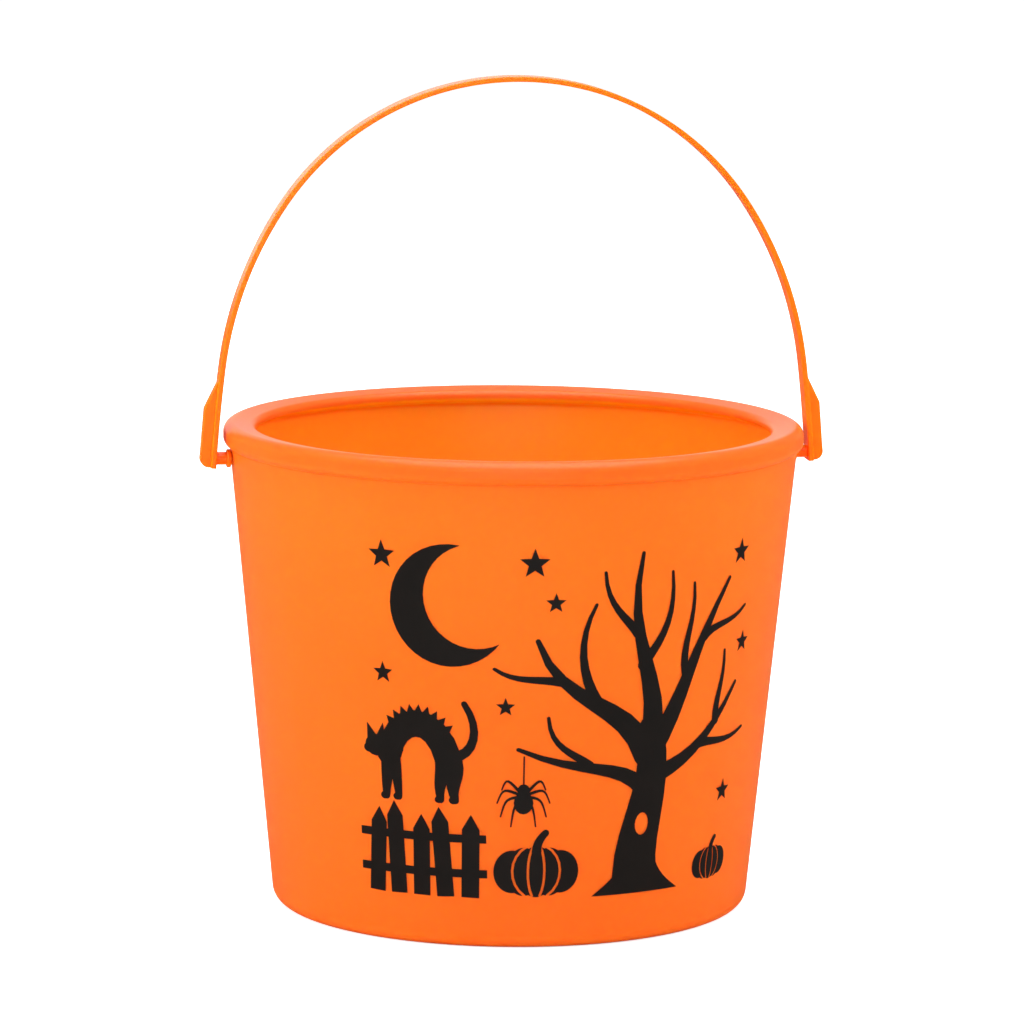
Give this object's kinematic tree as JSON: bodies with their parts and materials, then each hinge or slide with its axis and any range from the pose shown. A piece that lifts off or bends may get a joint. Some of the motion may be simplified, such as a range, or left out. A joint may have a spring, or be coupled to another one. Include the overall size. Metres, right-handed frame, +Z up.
{
  "type": "candy pail",
  "caption": "Round tapered plastic candy pail with an inward rolled rim, a printed front and a swinging bail handle.",
  "frame": {"origin": "on the pail's axis, in the plane of the ring that it stands on", "axes": "+Z up along the pail's axis, +X along the bail's pivot axis, the printed side faces -Y"},
  "size_m": [0.2172, 0.2, 0.2867],
  "materials": {
    "pail_plastic": "moulded orange plastic, satin to glossy, slightly translucent",
    "bail_plastic": "moulded orange plastic, glossy, a little yellower than the pail",
    "print_ink": "black screen-print ink, satin"
  },
  "bodies": {
    "pail": {"pail_shell": "pail_plastic", "print_tree": "print_ink", "print_spider": "print_ink", "print_pumpkins": "print_ink", "print_cat": "print_ink", "print_fence": "print_ink", "print_moon": "print_ink", "print_stars": "print_ink"},
    "bail": {"bail_handle": "bail_plastic"}
  },
  "joints": [
    {"name": "handle_swing", "type": "hinge", "parent": "pail", "child": "bail", "pos_m": [0, 0, 0.156], "axis": [1, 0, 0], "range_deg": [-134.5, 134.5]}
  ]
}
